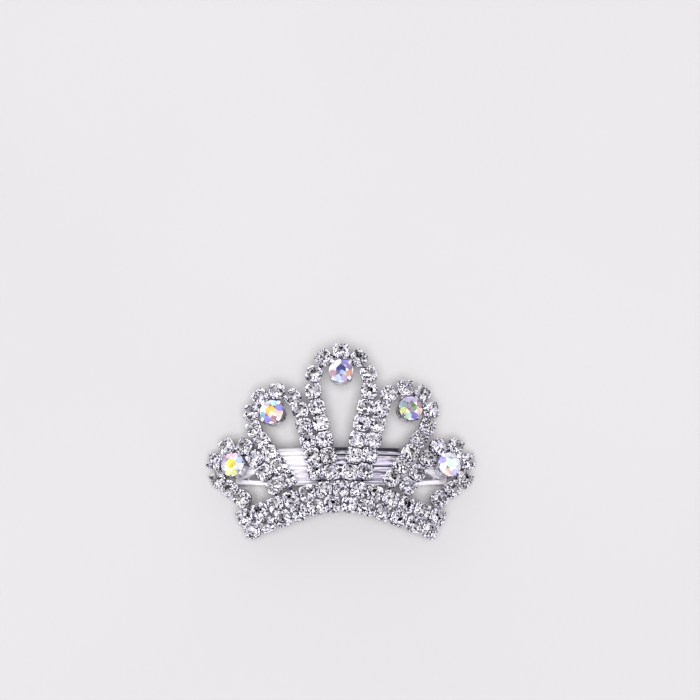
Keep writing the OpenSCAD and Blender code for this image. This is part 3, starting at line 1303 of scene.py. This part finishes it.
@dataclass
class Studio:
    """Floor, room, soft lights and the camera."""

    aim: Vector = field(default_factory=lambda: Vector((1.67 * MM, 17.83 * MM, 8.0 * MM)))
    elevation_deg: float = 74.0
    distance: float = 0.369
    lens_mm: float = 100.0
    near_clip: float = 0.01
    floor_size: float = 6.0
    floor_gap: float = 0.02 * MM
    key_place: Vector = field(default_factory=lambda: Vector((-0.5, 0.6, 0.9)))
    key_side: float = 0.8
    key_watts: float = 2.0
    fill_strength: float = 14.0
    fill_spread_deg: float = 24.0

    def camera_direction(self) -> Vector:
        """Direction from the object to the camera."""
        tilt = math.radians(self.elevation_deg)
        return Vector((0.0, -math.cos(tilt), math.sin(tilt)))

    def floor(self) -> None:
        """Adds the floor just under the clip."""
        Bench.clear()
        level = CAD_BOX[0][2] - self.floor_gap
        bpy.ops.mesh.primitive_plane_add(size=self.floor_size, location=(0.0, 0.0, level))
        plane = Bench.name("floor")
        Bench.settle(plane)
        plane.data.materials.append(PaleFloor().build())

    @staticmethod
    def _hang(thing: bpy.types.Object, place: Vector, look: Vector) -> None:
        """Hangs a light or the camera in the scene.

        Args:
            thing: the light's or the camera's object.
            place: where it hangs.
            look: direction in which it looks.
        """
        thing.location = place
        thing.rotation_euler = look.to_track_quat("-Z", "Y").to_euler()
        bpy.context.scene.collection.objects.link(thing)

    def _light(self, data: bpy.types.Light, place: Vector, mirrored: bool) -> None:
        """Hangs a light, aimed at the clip.

        Args:
            data: the light.
            place: where it hangs.
            mirrored: whether stones and metal mirror it.
        """
        light = bpy.data.objects.new(data.name, data)
        light.visible_camera = False
        light.visible_glossy = mirrored
        light.visible_transmission = mirrored
        self._hang(light, place, -place)

    def key(self) -> None:
        """Adds the large soft key light."""
        data = bpy.data.lights.new("key", "AREA")
        data.size = self.key_side
        data.energy = self.key_watts
        self._light(data, self.key_place, mirrored=True)

    def fill(self) -> None:
        """Adds an even light from the front, for the floor inside the petals."""
        data = bpy.data.lights.new("fill", "SUN")
        data.energy = self.fill_strength
        data.angle = math.radians(self.fill_spread_deg)
        self._light(data, self.camera_direction(), mirrored=False)

    def camera(self) -> None:
        """Adds the camera at the photo's angle."""
        data = bpy.data.cameras.new("camera")
        data.lens = self.lens_mm
        data.clip_start = self.near_clip
        camera = bpy.data.objects.new("camera", data)
        away = self.camera_direction()
        self._hang(camera, self.aim + away * self.distance, -away)
        bpy.context.scene.camera = camera

    def build(self) -> None:
        """Sets the whole stage."""
        self.floor()
        Room().build(self.camera_direction())
        self.key()
        self.fill()
        self.camera()
        bpy.context.scene.view_settings.view_transform = "Standard"


# Seed of the first chain's random draws; each later chain has the next one
FIRST_SEED = 20
CHAINS = (
    "centre_petal_stones",
    "left_inner_petal_stones",
    "right_inner_petal_stones",
    "left_outer_petal_stones",
    "right_outer_petal_stones",
    "upper_band_stones",
    "lower_band_stones",
)
CRYSTALS = {
    "centre_crystal": Coating(
        Tint.NAVY, Tint.SKY, -70.0,
        (Tint.PLUM, Tint.VIOLET, Tint.ICE, Tint.ICE, Tint.ROSE, Tint.SKY, Tint.PLUM, Tint.RUST),
        turn_deg=-67.5,
    ),
    "left_inner_crystal": Coating(
        Tint.GOLD, Tint.PEACH, -50.0,
        (Tint.VIOLET, Tint.CYAN, Tint.PEARL, Tint.ICE, Tint.CYAN, Tint.VIOLET, Tint.ROSE, Tint.PEACH),
    ),
    "right_inner_crystal": Coating(
        Tint.SMOKE, Tint.GREEN, 20.0,
        (Tint.ROSE, Tint.LILAC, Tint.LILAC, Tint.TEAL, Tint.LIME, Tint.MINT, Tint.VIOLET, Tint.PEACH),
        turn_deg=-67.5,
    ),
    "left_outer_crystal": Coating(
        Tint.YELLOW, Tint.YELLOW, 90.0,
        (Tint.SKY, Tint.MAGENTA, Tint.MAGENTA, Tint.LILAC, Tint.PEARL, Tint.LIME, Tint.LIME, Tint.PEARL),
        turn_deg=-67.5,
    ),
    "right_outer_crystal": Coating(
        Tint.MINT, Tint.MINT, 120.0,
        (Tint.PEARL, Tint.PEARL, Tint.PEARL, Tint.VIOLET, Tint.PEARL, Tint.PEACH, Tint.LILAC, Tint.PEARL),
    ),
}


def span(node: str, axis: int) -> tuple[float, float]:
    """Least and greatest coordinate of a node, in metres, along axis 0, 1 or 2."""
    values = [vertex.co[axis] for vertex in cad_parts[node].data.vertices]
    return min(values), max(values)


def report(piece: bpy.types.Object) -> None:
    """Logs a finished piece."""
    LOG.info("%s: %d faces", piece.name, len(piece.data.polygons))


def main() -> None:
    """Builds every piece in order and reports each one."""
    logging.basicConfig(level=logging.INFO, format="%(message)s")
    plating = Plating(
        "shaded_plating", colour=(0.88, 0.87, 0.92), painted_shade_colour=(0.40, 0.37, 0.46), cloud_per_m=1100.0
    ).build()
    speckled = Plating(
        "speckled_plating",
        colour=(0.95, 0.94, 0.98),
        painted_shade_colour=(0.03, 0.025, 0.05),
        cloud_per_m=2800.0,
        cloud_edges=(0.48, 0.55),
    ).build()
    ribbed = RibbedPlating("ribbed_sheet", *span("barrette_plate", 1)).build()
    satin = Plating(
        "satin_sheet", colour=(0.80, 0.80, 0.83), roughness=0.22, stretch=(0.1, 1.0, 1.0)
    ).build()
    glass = CutGlass("stone_glass", glare=0.10, painted_glow=0.20).build()
    coated = CutGlass("coated_glass", ior=1.6, clearness=0.72, coat=0.2, mirror=0.12, painted_glow=0.28).build()
    foil = FoilBack("stone_foil").build()
    finder = SeatFinder("crown_frame")
    report(SmoothCopy("crown_frame", Slot.PLATING, plating).build())
    report(SmoothCopy("barrette_plate", Slot.PLATE, ribbed).build())
    report(SmoothCopy("clasp_arm", Slot.ARM, satin).build())
    small_cut = BrilliantCut(glass, mains=10, blank_sides=40, split_mains=True).cut()
    small_seats = []
    for seed, node in enumerate(CHAINS, start=FIRST_SEED):
        seats = finder.seats(node)
        small_seats += seats
        report(StoneChain(node, seed).build(small_cut, seats))
    Bench.drop(small_cut)
    large_cut = BrilliantCut(
        coated, foil, table=0.44, crown_angle=33.0, star_angle=23.0, blank_sides=48
    ).cut()
    for node, coating in CRYSTALS.items():
        report(Crystal(node, coating).build(large_cut, finder.seats(node)[0]))
    Bench.drop(large_cut)
    report(CupRims("cup_rims", speckled).build(small_seats))
    report(ClawTips("claw_tips", speckled).build(small_seats))
    Studio().build()
    LOG.info("stage: floor, room, lights and camera")


if __name__ == "__main__":
    main()
